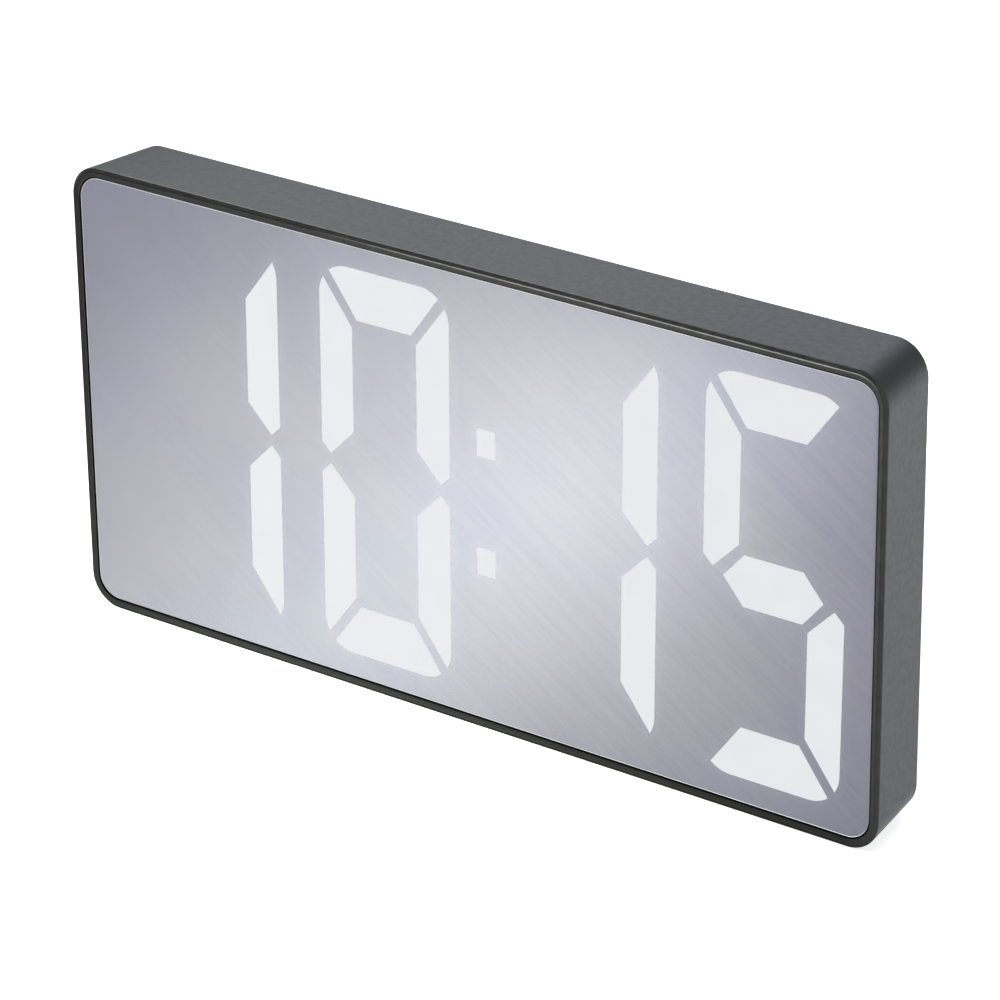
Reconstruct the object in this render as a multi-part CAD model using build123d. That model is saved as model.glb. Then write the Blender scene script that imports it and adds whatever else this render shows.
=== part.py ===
from build123d import *
import math
import os

# Digital LED desk clock: a slim box with a half-silvered front panel, lit
# seven-segment digits behind it, and a fold-out easel leg at the back.
# Millimetres. X to the right as seen from the front, -Y to the front, +Z up.
# The origin is at the middle of the footprint, on the surface the clock stands on.

os.makedirs("parts", exist_ok=True)

# ---------------------------------------------------------------- case
W = 165.0            # width across the front rim
H = 84.0             # height of the front rim
D = 15.5             # depth, front rim to back
R_CORNER = 5.9       # outer corner radius of the front
TAPER_X = 2.0        # how much each side draws in towards the back
TAPER_Z = 0.2        # the same for top and bottom
CHAMFER = 0.75       # bevel round the front rim, its width seen from the front
BEVEL_D = 0.30       # and its depth
BACK_EDGE = 0.3      # bevel round the back edge
FOOT_PROUD = 0.4     # how far the foot pads stand below the case
ZC = FOOT_PROUD + H / 2      # height of the middle of the front
Y0 = -D / 2                  # front plane

# ---------------------------------------------------------------- front stack, as depths behind the front rim
RIM_X, RIM_Z = 1.55, 1.65    # rim width at the sides, and at top and bottom
GAP = 0.20                   # gap round the mirror panel
R_PANEL = 4.25
PANEL_D0, PANEL_D1 = 0.20, 2.15
LIT_T = 0.15                 # thickness of the lit inlays
TAPE_D1 = 2.35
FILM_D1 = 2.40
LEDGE_D1 = 4.30
REFL_D1 = 7.40
BOARD_D1 = 8.60
COVER_D0 = 13.70
PW = W - 2 * RIM_X - 2 * GAP     # mirror panel width
PH = H - 2 * RIM_Z - 2 * GAP     # mirror panel height
WIN_X, WIN_Z = 78.7, 38.0        # half sizes of the window behind the panel
CAV_X, CAV_Z = 79.0, 40.3        # half sizes of the cavity behind the ledge
REF_X, REF_Z = 78.3, 37.6        # front of the reflector block
FLG_X, FLG_Z = 78.7, 39.9        # its flange, and the board
BOSS = (76.4, 37.7)              # corner bosses for the cover screws
BOSS_R = 2.1
NOTCH = (74.0, 35.3)             # corner notch that clears the bosses

# ---------------------------------------------------------------- digits, in thousandths of the panel's height and two-thousandths of its width
CELLS = (193.6, 639.7, 1154.6, 1599.7)     # left edge of each digit, at half height
LEAN = 0.0105                              # the digits lean a little to the right
COLON = ((1065.5, 362.5), (1065.5, 632.5))
COLON_W, COLON_H = 47.0, 63.0
A = [(14, 50, 0.5), (319, 50, 0.5), (236, 165, 3), (97, 165, 3)]
F = [(0, 71, 0.5), (0, 462, 4), (23, 485, 3), (84, 422, 3), (84, 184, 3)]
G = [(97, 442, 3), (236, 442, 3), (284, 499, 3), (236, 557, 3), (97, 557, 3), (48, 499, 3)]
CELL_W = 333.0
R_DIGIT = 73                               # a digit's outer corners, which cut the ends of its bars to points
WHOLE = [(0, 50, R_DIGIT), (CELL_W, 50, R_DIGIT), (CELL_W, 944, R_DIGIT), (0, 944, R_DIGIT)]


def flip_x(points):
    return [(CELL_W - x, y, r) for x, y, r in points][::-1]


def flip_y(points):
    return [(x, 994 - y, r) for x, y, r in points][::-1]


SEGMENTS = {"a": A, "f": F, "g": G, "b": flip_x(F), "e": flip_y(F), "c": flip_y(flip_x(F)), "d": flip_y(A)}
LIT = ("bc", "abcdef", "bc", "afgcd")      # 1 0 : 1 5

# ---------------------------------------------------------------- back: easel leg, buttons, cell cap
HINGE_D = 14.0           # depth of the hinge axis
HINGE_Z = 73.5           # height of the hinge axis
PIN_R = 0.75
LEG_W0, LEG_W1 = 44.0, 36.0      # leg width at the hinge and at the foot
LEG_LEN = 68.9
LEG_D0, LEG_D1 = 13.2, 15.4
KNUCKLE_R = 1.45
POCKET_D = 12.1          # floor of the leg's pocket
TUB_D = 11.0             # front face of the pocket's tub
SIDE = 0.3               # clearance round the leg
BUTTON_X = (33.0, 45.0, 57.0, 69.0)
BUTTON_Z = 28.0          # above the middle of the front
BUTTON_L, BUTTON_B = 9.0, 5.0
BUTTON_TRAVEL = 0.3
SWITCH_H = 3.5
CELL_XZ = (-50.0, 12.0)
BUZZER_XZ = (52.0, -12.0)
SOCKET_Z = -20.0


def plane(d):
    """A sketch plane at depth d behind the front rim, its own x to the right and y up, facing the front."""
    return Plane(origin=(0, Y0 + d, ZC), x_dir=(1, 0, 0), z_dir=(0, -1, 0))


def slab(sketch, d0, d1):
    """The sketch made solid from depth d0 to depth d1."""
    return extrude(plane(d1) * sketch, amount=d1 - d0)


def rr(w, h, r):
    return RectangleRounded(w, h, r)


def at(x, z, sketch):
    return Pos(x, z) * sketch


def outline(points):
    """A closed outline of straight runs, with each corner (x, y, r) rounded to its own radius."""
    n = len(points)
    cut = []
    for i, (x, y, r) in enumerate(points):
        p, a, b = Vector(x, y), Vector(*points[i - 1][:2]), Vector(*points[(i + 1) % n][:2])
        u, v = (a - p).normalized(), (b - p).normalized()
        half = math.radians(u.get_angle(v)) / 2
        t = r / math.tan(half)
        mid = p + (u + v).normalized() * (r / math.sin(half) - r)
        cut.append((p + u * t, mid, p + v * t))
    edges = []
    for i in range(n):
        a, m, b = cut[i]
        edges += [ThreePointArc(a, m, b), Line(b, cut[(i + 1) % n][0])]
    return make_face(Wire([e.edge() if hasattr(e, "edge") else e for e in edges]))


def on_panel(points, left):
    """Digit units to millimetres on the panel, measured from its middle."""
    k = PW / 2000
    return [((left + x + LEAN * (497 - y) - 1000) * k, (500 - y) * PH / 1000, r * k) for x, y, r in points]


def save(node, shape):
    """One node, of one solid or a group of separate solids."""
    if isinstance(shape, (list, tuple)):
        solids = [s for part in shape for s in part.solids()]
        shape = solids[0] if len(solids) == 1 else Compound(children=solids)
    export_step(shape, f"parts/{node}.step")


def box(x0, x1, z0, z1, d0, d1):
    """A block by its edges in either order, z from the middle of the front."""
    (x0, x1), (z0, z1) = sorted((x0, x1)), sorted((z0, z1))
    return slab(at((x0 + x1) / 2, (z0 + z1) / 2, Rectangle(x1 - x0, z1 - z0)), d0, d1)


def disc(x, z, r, d0, d1):
    return slab(at(x, z, Circle(r)), d0, d1)


CORNERS = [(sx * BOSS[0], sz * BOSS[1]) for sx in (-1, 1) for sz in (-1, 1)]


def section(d, by=0.0):
    """Outer outline of the case at depth d, drawn in by the bevel."""
    t = max(0.0, (d - BEVEL_D) / (D - BEVEL_D))
    return plane(d) * rr(W - 2 * TAPER_X * t - 2 * by, H - 2 * TAPER_Z * t - 2 * by, R_CORNER - by)


# ================================================================ housing
shell = loft([section(BEVEL_D), section(D - BACK_EDGE)], ruled=True)
shell += loft([section(0, CHAMFER), section(BEVEL_D)], ruled=True)
shell += loft([section(D - BACK_EDGE), section(D, BACK_EDGE)], ruled=True)
shell -= slab(rr(PW + 2 * GAP, PH + 2 * GAP, R_PANEL + GAP), -1, TAPE_D1)
shell -= slab(rr(2 * WIN_X, 2 * WIN_Z, 2.0), 0, LEDGE_D1)
shell -= slab(rr(2 * CAV_X, 2 * CAV_Z, 3.0), LEDGE_D1, D + 1)
for x, z in CORNERS:
    sx, sz = math.copysign(1, x), math.copysign(1, z)
    post = disc(x, z, BOSS_R, LEDGE_D1, COVER_D0)
    post += box(x, sx * (CAV_X + 0.3), z, sz * (CAV_Z + 0.3), LEDGE_D1, COVER_D0)
    shell += post
    shell -= disc(x, z, 0.8, COVER_D0 - 6.5, COVER_D0)
# socket opening in the left wall: a rounded slot for the socket's mouth
SOCKET_W, SOCKET_T, SOCKET_L = 8.94, 3.26, 7.35
SOCKET_D = BOARD_D1 + SOCKET_T / 2
slot_plane = Plane(origin=(-W, Y0 + SOCKET_D, ZC + SOCKET_Z), x_dir=(0, 0, 1), z_dir=(1, 0, 0))
shell -= extrude(slot_plane * SlotOverall(SOCKET_W + 0.5, SOCKET_T + 0.5), amount=W - CAV_X + 1)
# recesses for the foot pads
PAD_X, PAD_W, PAD_D, PAD_T = 56.0, 34.0, 11.5, 0.9
for sx in (-1, 1):
    shell -= Pos(sx * PAD_X, 0, PAD_T / 2) * Box(PAD_W + 0.2, PAD_D + 0.2, PAD_T)
save("housing", [shell])

pads = []
for sx in (-1, 1):
    pad = Pos(sx * PAD_X, 0, PAD_T / 2) * Box(PAD_W, PAD_D, PAD_T)
    pad = chamfer(pad.edges().group_by(Axis.Z)[0], 0.15)
    pads.append(pad)
save("foot_pads", pads)

# ================================================================ front panel and what is behind it
def segment(letter, cell):
    """One bar of a digit, cut to points at its ends by the digit's rounded outer corners."""
    bar = outline(on_panel(SEGMENTS[letter], CELLS[cell]))
    return bar if letter == "g" else bar & outline(on_panel(WHOLE, CELLS[cell]))


def colon(i, grow=0.0):
    x, z, _ = on_panel([(*COLON[i], 0)], 0)[0]
    return at(x, z, rr(COLON_W * PW / 2000 + grow, COLON_H * PH / 1000 + grow, 0.3))


lit = [slab(segment(s, c), PANEL_D0, PANEL_D0 + LIT_T) for c, letters in enumerate(LIT) for s in letters]
lit += [slab(colon(i), PANEL_D0, PANEL_D0 + LIT_T) for i in (0, 1)]
save("lit_segments", lit)

panel = slab(rr(PW, PH, R_PANEL), PANEL_D0, PANEL_D1)
panel = chamfer(panel.faces().sort_by(Axis.Y)[0].edges(), 0.12)
panel = panel - lit
save("mirror_panel", [panel])

tape = slab(rr(PW - 0.2, PH - 0.2, R_PANEL - 0.1), PANEL_D1, TAPE_D1) - slab(rr(2 * WIN_X + 0.2, 2 * WIN_Z + 0.2, 2.0), PANEL_D1 - 1, TAPE_D1 + 1)
save("panel_tape", [tape])

film = slab(rr(2 * REF_X - 0.2, 2 * REF_Z - 0.2, 1.5), PANEL_D1, FILM_D1)
save("diffuser_film", [film])

block = slab(rr(2 * REF_X, 2 * REF_Z, 1.5), FILM_D1, LEDGE_D1) + slab(rr(2 * FLG_X, 2 * FLG_Z, 2.5), LEDGE_D1, REFL_D1)
notches = []
for x, z in CORNERS:
    sx, sz = math.copysign(1, x), math.copysign(1, z)
    notches.append(box(sx * NOTCH[0], sx * 82, sz * NOTCH[1], sz * 42, LEDGE_D1, COVER_D0))
block -= notches
wells = [slab(segment(s, c), FILM_D1 - 1, REFL_D1 + 1) for c in range(4) for s in "abcdefg"]
wells += [slab(colon(i), FILM_D1 - 1, REFL_D1 + 1) for i in (0, 1)]
block = block - wells
BOARD_SCREWS = [(-33.5, -22.0), (-33.5, 22.0), (44.3, -22.0), (44.3, 22.0)]
block -= [disc(x, z, 0.8, REFL_D1 - 3.6, REFL_D1 + 1) for x, z in BOARD_SCREWS]
save("reflector_block", [block])

board = slab(rr(2 * FLG_X, 2 * FLG_Z, 2.5), REFL_D1, BOARD_D1) - notches
board -= [disc(x, z, 1.1, REFL_D1 - 1, BOARD_D1 + 1) for x, z in BOARD_SCREWS]
save("led_board", [board])

# two light-emitting chips in each well, on the front of the board
leds = []
for c in range(4):
    for s in "abcdefg":
        pts = on_panel(SEGMENTS[s], CELLS[c])
        cx = (min(p[0] for p in pts) + max(p[0] for p in pts)) / 2
        cz = (min(p[1] for p in pts) + max(p[1] for p in pts)) / 2
        for k in (-1, 1):
            x, z = (cx + 4.2 * k, cz) if s in "adg" else (cx, cz + 7.5 * k)
            leds.append(box(x - 1.4, x + 1.4, z - 0.9, z + 0.9, REFL_D1 - 0.8, REFL_D1))
for i in (0, 1):
    x, z, _ = on_panel([(*COLON[i], 0)], 0)[0]
    leds.append(box(x - 1.0, x + 1.0, z - 0.8, z + 0.8, REFL_D1 - 0.8, REFL_D1))
save("segment_leds", leds)


def screw(x, z, seat, head_r, head_t, shank_r, length):
    """A pan-head screw driven in from the back: head on seat, tip to the front."""
    s = disc(x, z, head_r, seat, seat + head_t) + disc(x, z, shank_r, seat - length, seat)
    s = chamfer(s.edges().filter_by(GeomType.CIRCLE).sort_by(Axis.Y)[-1], 0.2)
    for a in (0, 90):
        s -= slab(at(x, z, Rot(0, 0, a) * Rectangle(head_r * 1.25, 0.4)), seat + head_t - 0.5, seat + head_t + 0.5)
    return s


save("board_screws", [screw(x, z, BOARD_D1, 1.7, 0.9, 0.78, 4.2) for x, z in BOARD_SCREWS])

# ================================================================ parts on the back of the board
B = BOARD_D1
chip = box(-13.0, 5.0, 1.5, 9.0, B + 0.1, B + 1.7)
chip = chamfer(chip.faces().sort_by(Axis.Y)[-1].edges(), 0.2)
legs = [box(-12.4 + 1.27 * i, -12.0 + 1.27 * i, z0, z1, B, B + 0.5) for i in range(14) for z0, z1 in ((0.2, 1.5), (9.0, 10.3))]
save("led_driver_chip", [chip, *legs])

mcu = box(-8.0, -1.0, -12.0, -5.0, B + 0.1, B + 1.5)
mcu = chamfer(mcu.faces().sort_by(Axis.Y)[-1].edges(), 0.2)
mlegs = []
for i in range(8):
    o = -2.8 + 0.8 * i
    mlegs += [box(-4.5 + o - 0.15, -4.5 + o + 0.15, z0, z1, B, B + 0.4) for z0, z1 in ((-13.0, -12.0), (-5.0, -4.0))]
    mlegs += [box(x0, x1, -8.5 + o - 0.15, -8.5 + o + 0.15, B, B + 0.4) for x0, x1 in ((-9.0, -8.0), (-1.0, 0.0))]
save("microcontroller", [mcu, *mlegs])

can = extrude(Plane(origin=(5.0, Y0 + B + 1.0, ZC - 8.5), x_dir=(0, 1, 0), z_dir=(1, 0, 0)) * Circle(1.0), amount=6.0)
save("clock_crystal", [can])

reg = box(-64.0, -57.5, -14.0, -10.5, B + 0.1, B + 1.7)
reg_legs = [box(-63.1 + 2.3 * i, -62.4 + 2.3 * i, -15.6, -14.0, B, B + 0.5) for i in range(3)] + [box(-62.4, -59.1, -10.5, -8.9, B, B + 0.5)]
save("voltage_regulator", [reg, *reg_legs])

save("chip_resistors", [box(-14.0 + 2.6 * i, -12.4 + 2.6 * i, -20.0, -19.2, B, B + 0.5) for i in range(8)]
     + [box(12.0, 13.6, -4.0 + 2.0 * i, -3.2 + 2.0 * i, B, B + 0.5) for i in range(5)])
save("chip_capacitors", [box(-69.0 + 4.4 * i, -66.0 + 4.4 * i, -8.0, -6.4, B, B + 1.4) for i in range(2)]
     + [box(13.0, 15.0, -12.0 + 3.0 * i, -10.8 + 3.0 * i, B, B + 1.0) for i in range(2)])

buzzer = disc(*BUZZER_XZ, 6.0, B, B + 4.0) - disc(*BUZZER_XZ, 1.1, B + 1.0, B + 5.0)
save("alarm_buzzer", [buzzer])

# power socket: a folded metal shell with a tongue, its mouth just inside the left wall
MOUTH = -80.7
sock_plane = Plane(origin=(MOUTH, Y0 + SOCKET_D, ZC + SOCKET_Z), x_dir=(0, 0, 1), z_dir=(1, 0, 0))
sock = extrude(sock_plane * SlotOverall(SOCKET_W, SOCKET_T), amount=SOCKET_L)
sock -= extrude(sock_plane * SlotOverall(SOCKET_W - 0.6, SOCKET_T - 0.6), amount=SOCKET_L - 0.6)
save("power_socket_shell", [sock])
tongue = extrude(sock_plane.offset(0.7) * Rectangle(6.6, 0.7), amount=SOCKET_L - 0.6 - 0.7)
save("power_socket_tongue", [tongue])

# switches under the buttons
switches, plungers = [], []
for x in BUTTON_X:
    body = box(x - 3.0, x + 3.0, BUTTON_Z - 3.0, BUTTON_Z + 3.0, B, B + SWITCH_H)
    body -= disc(x, BUTTON_Z, 1.85, B + SWITCH_H - 1.2, B + SWITCH_H + 1)
    switches.append(body)
    plungers.append(disc(x, BUTTON_Z, 1.7, B + SWITCH_H - 0.8, B + SWITCH_H + 0.8))
save("switch_housings", switches)
PLUNGER_TOP = B + SWITCH_H + 0.8
NAMES = ("mode", "alarm", "down", "up")
for name, p in zip(NAMES, plungers):
    save(f"{name}_switch_plunger", [p])

# coin cell, its holder and contacts
cx, cz = CELL_XZ
holder = disc(cx, cz, 11.9, B, B + 3.4) - disc(cx, cz, 10.3, B + 0.5, B + 5)
holder -= box(cx - 4.0, cx + 4.0, cz + 6.0, cz + 13.0, B + 0.5, B + 5)
holder -= box(cx - 3.0, cx + 3.0, cz - 13.0, cz - 9.0, B + 1.2, B + 5)
holder -= box(cx - 2.2, cx + 2.2, cz - 6.2, cz + 2.2, B + 0.3, B + 0.6)
save("coin_cell_holder", [holder])
cell = disc(cx, cz, 10.0, B + 0.9, B + 4.1)
cell = chamfer(cell.edges().filter_by(GeomType.CIRCLE), 0.25)
save("coin_cell", [cell])
neg = box(cx - 2.0, cx + 2.0, cz - 6.0, cz + 2.0, B + 0.3, B + 0.5) + box(cx - 1.2, cx + 1.2, cz - 0.6, cz + 2.0, B + 0.5, B + 0.9)
save("cell_contact_negative", [neg])
pos = box(cx - 3.5, cx + 3.5, cz + 10.3, cz + 10.6, B + 0.5, B + 4.35) + box(cx - 3.5, cx + 3.5, cz + 8.4, cz + 10.6, B + 4.1, B + 4.35)
save("cell_contact_positive", [pos])

# ================================================================ rear cover
def leg_outline(grow=0.0, top=0.0, bottom=0.0):
    """The leg seen from behind, tapering from the hinge to the foot."""
    z1 = HINGE_Z - ZC + top
    z0 = HINGE_Z - ZC - LEG_LEN - bottom
    a, b = LEG_W0 / 2 + grow, LEG_W1 / 2 + grow
    return outline([(-a, z1, 0.3), (-a, z1 - 12, 8.0), (-b, z0, 3.0), (b, z0, 3.0), (a, z1 - 12, 8.0), (a, z1, 0.3)])


cover = slab(rr(2 * CAV_X - 0.3, 2 * CAV_Z - 0.3, 2.85), COVER_D0, D)
cover = chamfer(cover.faces().sort_by(Axis.Y)[-1].edges(), 0.25)
POCKET_TOP = KNUCKLE_R + 0.35
tub = slab(leg_outline(SIDE + 1.2, POCKET_TOP + 1.2, SIDE + 1.2), TUB_D, COVER_D0)
hz = HINGE_Z - ZC
ear = LEG_W0 / 2 + SIDE
tub += [box(s * ear, s * (ear + 3.3), hz - 3.0, hz + 3.0, TUB_D, COVER_D0) for s in (-1, 1)]
cover += tub
cover -= slab(leg_outline(SIDE, POCKET_TOP, SIDE), POCKET_D, D + 1)
for s in (-1, 1):
    x0 = s * (ear - 1)
    pin_plane = Plane(origin=(x0, Y0 + HINGE_D, HINGE_Z), x_dir=(0, 1, 0), z_dir=(s, 0, 0))
    cover -= extrude(pin_plane * Circle(PIN_R + 0.02), amount=4.3)
# screw holes
for x, z in CORNERS:
    cover -= disc(x, z, 1.15, COVER_D0 - 1, D + 1)
    cover -= disc(x, z, 1.95, D - 1.0, D + 1)
# button holes in shallow dishes
for x in BUTTON_X:
    cover -= slab(at(x, BUTTON_Z, SlotOverall(BUTTON_L + 0.5, BUTTON_B + 0.5)), COVER_D0 - 1, D + 1)
    cover -= slab(at(x, BUTTON_Z, SlotOverall(BUTTON_L + 2.2, BUTTON_B + 2.2)), D - 0.4, D + 1)
# cell cap opening: seat, bore, and two notches for the cap's lugs
CAP_SEAT_D = 14.45
LUG_ANGLE = -45.0
cover -= disc(cx, cz, 13.8, CAP_SEAT_D, D + 1)
cover -= disc(cx, cz, 11.6, COVER_D0 - 1, D + 1)
ring = Circle(13.65) - Circle(11.2)


def wedge(angle, width):
    """A sector of a wide disc, as a mask."""
    a0, a1 = math.radians(angle - width / 2), math.radians(angle + width / 2)
    return make_face(Polyline((0, 0), (20 * math.cos(a0), 20 * math.sin(a0)), (20 * math.cos(a1), 20 * math.sin(a1)), (0, 0)))


for k in (0, 180):
    cover -= slab(at(cx, cz, ring & wedge(LUG_ANGLE + k, 34)), COVER_D0 - 1, CAP_SEAT_D + 0.1)
# sound holes over the buzzer
bx, bz = BUZZER_XZ
for ring_r, count in ((0, 1), (2.6, 6), (5.2, 12)):
    for i in range(count):
        a = 2 * math.pi * i / max(count, 1)
        cover -= disc(bx + ring_r * math.cos(a), bz + ring_r * math.sin(a), 0.6, COVER_D0 - 1, D + 1)
# bare recessed field at the lower left of the back
cover -= slab(at(-52.0, -24.0, rr(36.0, 15.0, 1.0)), D - 0.2, D + 1)
# posts that press the board and the reflector against the ledge
for x, z in ((-70.0, 31.0), (-72.0, -34.0), (70.0, -33.0), (33.0, 8.0)):
    cover += disc(x, z, 1.8, BOARD_D1, COVER_D0 + 0.1)
save("rear_cover", [cover])
save("cover_screws", [screw(x, z, D - 1.0, 1.75, 0.8, 0.78, 6.2) for x, z in CORNERS])

# ================================================================ easel leg
leg = slab(leg_outline(0, 0, 0), LEG_D0, LEG_D1)
leg = chamfer(leg.faces().sort_by(Axis.Y)[-1].edges(), 0.25)
half = LEG_W0 / 2
knuckle = extrude(Plane(origin=(-half, Y0 + HINGE_D, HINGE_Z), x_dir=(0, 1, 0), z_dir=(1, 0, 0)) * Circle(KNUCKLE_R), amount=LEG_W0)
heel = Pos(0, Y0 + HINGE_D - KNUCKLE_R / 2, HINGE_Z + 0.6) * Box(LEG_W0, KNUCKLE_R, 1.2)
leg += [knuckle, heel]
leg -= slab(at(0, hz - LEG_LEN, Circle(6.5)), LEG_D0 - 1, LEG_D1 + 1)          # fingernail notch
leg -= [slab(at(x, hz - 33.0, rr(9.5, 40.0, 2.0)), LEG_D0 - 1, LEG_D0 + 0.9) for x in (-11.5, 0, 11.5)]   # cored out from inside
leg -= extrude(Plane(origin=(-half - 1, Y0 + HINGE_D, HINGE_Z), x_dir=(0, 1, 0), z_dir=(1, 0, 0)) * Circle(PIN_R + 0.05), amount=LEG_W0 + 2)
TIP_Z = hz - LEG_LEN
tips = [box(s * 8.2, s * 14.2, TIP_Z, TIP_Z + 3.2, LEG_D0, LEG_D0 + 0.8) for s in (-1, 1)]
leg -= tips
save("stand_leg", [leg])
save("stand_tips", tips)
pin = extrude(Plane(origin=(-ear - 3.1, Y0 + HINGE_D, HINGE_Z), x_dir=(0, 1, 0), z_dir=(1, 0, 0)) * Circle(PIN_R), amount=2 * (ear + 3.1))
save("stand_hinge_pin", [pin])

# ================================================================ buttons
for name, x in zip(NAMES, BUTTON_X):
    key = slab(at(x, BUTTON_Z, SlotOverall(BUTTON_L, BUTTON_B)), PLUNGER_TOP, D - 0.2)
    key = chamfer(key.faces().sort_by(Axis.Y)[-1].edges(), 0.2)
    key += slab(at(x, BUTTON_Z, SlotOverall(BUTTON_L + 1.8, BUTTON_B + 1.8)), PLUNGER_TOP, COVER_D0 - 0.05)
    top = D - 0.2
    if name in ("up", "down"):
        key -= box(x - 1.1, x + 1.1, BUTTON_Z - 0.25, BUTTON_Z + 0.25, top - 0.2, top + 1)
    if name == "up":
        key -= box(x - 0.25, x + 0.25, BUTTON_Z - 1.1, BUTTON_Z + 1.1, top - 0.2, top + 1)
    if name == "mode":
        key -= slab(at(x, BUTTON_Z, Circle(1.15) - Circle(0.7)), top - 0.2, top + 1)
    if name == "alarm":
        key -= slab(at(x, BUTTON_Z, RegularPolygon(1.2, 3)), top - 0.2, top + 1)
    save(f"{name}_button", [key])

# ================================================================ coin cell cap
cap = disc(cx, cz, 13.5, CAP_SEAT_D + 0.05, D - 0.1)
cap = chamfer(cap.edges().filter_by(GeomType.CIRCLE).sort_by(Axis.Y)[-1], 0.2)
cap += disc(cx, cz, 11.35, COVER_D0 - 0.75, CAP_SEAT_D + 0.1)
for k in (0, 180):
    cap += slab(at(cx, cz, (Circle(13.3) - Circle(10.8)) & wedge(k, 24)), COVER_D0 - 0.75, COVER_D0 - 0.05)
cap -= slab(at(cx, cz, SlotOverall(15.0, 1.8)), D - 0.75, D + 1)      # slot for turning it with a coin
cap -= disc(cx, cz, 9.0, COVER_D0 - 2, COVER_D0 + 0.2)
save("cell_cap", [cap])

print("case", W, H, D, "panel", round(PW, 2), round(PH, 2), "middle at", ZC)
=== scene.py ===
import bpy, bmesh, math
from mathutils import Matrix, Quaternion, Vector


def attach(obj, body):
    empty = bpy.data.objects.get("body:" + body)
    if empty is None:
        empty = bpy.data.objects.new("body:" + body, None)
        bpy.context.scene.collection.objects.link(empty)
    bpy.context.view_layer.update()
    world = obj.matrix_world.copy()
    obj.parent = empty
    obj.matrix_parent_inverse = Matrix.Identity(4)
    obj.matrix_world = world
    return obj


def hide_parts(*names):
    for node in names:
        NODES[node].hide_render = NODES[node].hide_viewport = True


# A slim desk clock: half-silvered panel with lit digits in a matte dark grey
# moulded case, leg, keys and cell cap at the back. Metres, in the frame of the
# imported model. Depths (d) are millimetres behind the front rim.

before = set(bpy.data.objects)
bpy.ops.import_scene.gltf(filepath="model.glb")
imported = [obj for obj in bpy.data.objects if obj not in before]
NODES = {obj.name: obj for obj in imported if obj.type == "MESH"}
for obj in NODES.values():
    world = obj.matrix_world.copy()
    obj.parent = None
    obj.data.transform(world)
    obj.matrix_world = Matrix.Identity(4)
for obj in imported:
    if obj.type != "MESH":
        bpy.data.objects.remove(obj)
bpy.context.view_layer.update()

W, H, D, R = 165.0, 84.0, 15.5, 5.9
TAPER_X, TAPER_Z, CHAMFER, BEVEL_D = 2.0, 0.2, 0.75, 0.30
ZC, Y0 = 42.4, -7.75
PW, PH = 161.5, 80.3
MM = 0.001


# ------------------------------------------------------------------ mesh helpers
def ring_points(hx, hz, r, nc=18, near=(0.15, 0.6, 2.5), spans=(7, 4)):
    """Anticlockwise outline (seen from the front) of a rounded rectangle, always with the same count of points."""
    out = []
    corners = [(hx - r, -hz + r, -90), (hx - r, hz - r, 0), (-hx + r, hz - r, 90), (-hx + r, -hz + r, 180)]
    for k, (cx, cz, a0) in enumerate(corners):
        for i in range(nc + 1):
            a = math.radians(a0 + 90.0 * i / nc)
            out.append((cx + r * math.cos(a), cz + r * math.sin(a)))
        x0, z0 = out[-1]
        nx, nz, b0 = corners[(k + 1) % 4]
        x1, z1 = nx + r * math.cos(math.radians(b0)), nz + r * math.sin(math.radians(b0))
        length = math.hypot(x1 - x0, z1 - z0)
        n = spans[1] if k % 2 == 0 else spans[0]
        stops = list(near) + [near[-1] + (length - 2 * near[-1]) * j / n for j in range(1, n)] + [length - s for s in near[::-1]]
        for s in stops:
            out.append((x0 + (x1 - x0) * s / length, z0 + (z1 - z0) * s / length))
    return out


def rounded_profile(corners, steps=4):
    """corners: [((hx, hz, r, d), radius)] of a closed section. Each corner is turned into an arc, measured in the hx-d plane.
    Returns (point, how far into a rounded edge it is, index of the corner)."""
    out = []
    n = len(corners)
    for i, (b, rad) in enumerate(corners):
        if rad <= 0:
            out.append((b, 0.0, i))
            continue
        a, c = corners[i - 1][0], corners[(i + 1) % n][0]
        u = [p - q for p, q in zip(a, b)]
        v = [p - q for p, q in zip(c, b)]
        lu, lv = math.hypot(u[0], u[3]), math.hypot(v[0], v[3])
        u, v = [x / lu for x in u], [x / lv for x in v]
        half = math.acos(max(-1, min(1, u[0] * v[0] + u[3] * v[3]))) / 2
        t = rad / math.tan(half)
        w = math.sin(half)
        p0, p2 = [q + t * x for q, x in zip(b, u)], [q + t * x for q, x in zip(b, v)]
        lead = min(0.06, 0.2 * rad)
        out.append((tuple(q + (t + lead) * x for q, x in zip(b, u)), 0.0, i))
        for k in range(steps + 1):
            s = k / steps
            k0, k1, k2 = (1 - s) ** 2, 2 * s * (1 - s) * w, s * s
            out.append((tuple((k0 * p + k1 * q + k2 * r) / (k0 + k1 + k2) for p, q, r in zip(p0, b, p2)), 1.0 - abs(2 * s - 1) * 0.5, i))
        out.append((tuple(q + (t + lead) * x for q, x in zip(b, v)), 0.0, i))
    return out


def new_object(name, bm, smooth=35):
    bmesh.ops.remove_doubles(bm, verts=bm.verts, dist=1e-7)
    bmesh.ops.recalc_face_normals(bm, faces=bm.faces)
    mesh = bpy.data.meshes.new(name)
    bm.to_mesh(mesh)
    bm.free()
    mesh.polygons.foreach_set("use_smooth", [True] * len(mesh.polygons))
    mesh.set_sharp_from_angle(angle=math.radians(smooth))
    obj = bpy.data.objects.new(name, mesh)
    bpy.context.scene.collection.objects.link(obj)
    return obj


def weighted(obj):
    m = obj.modifiers.new("normals", "WEIGHTED_NORMAL")
    m.keep_sharp = True
    m.weight = 60


def applied(obj):
    """The object's mesh with its modifiers in it."""
    bpy.context.view_layer.update()
    dg = bpy.context.evaluated_depsgraph_get()
    mesh = bpy.data.meshes.new_from_object(obj.evaluated_get(dg))
    mesh.name = obj.name
    obj.modifiers.clear()
    obj.data = mesh
    return obj


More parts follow.
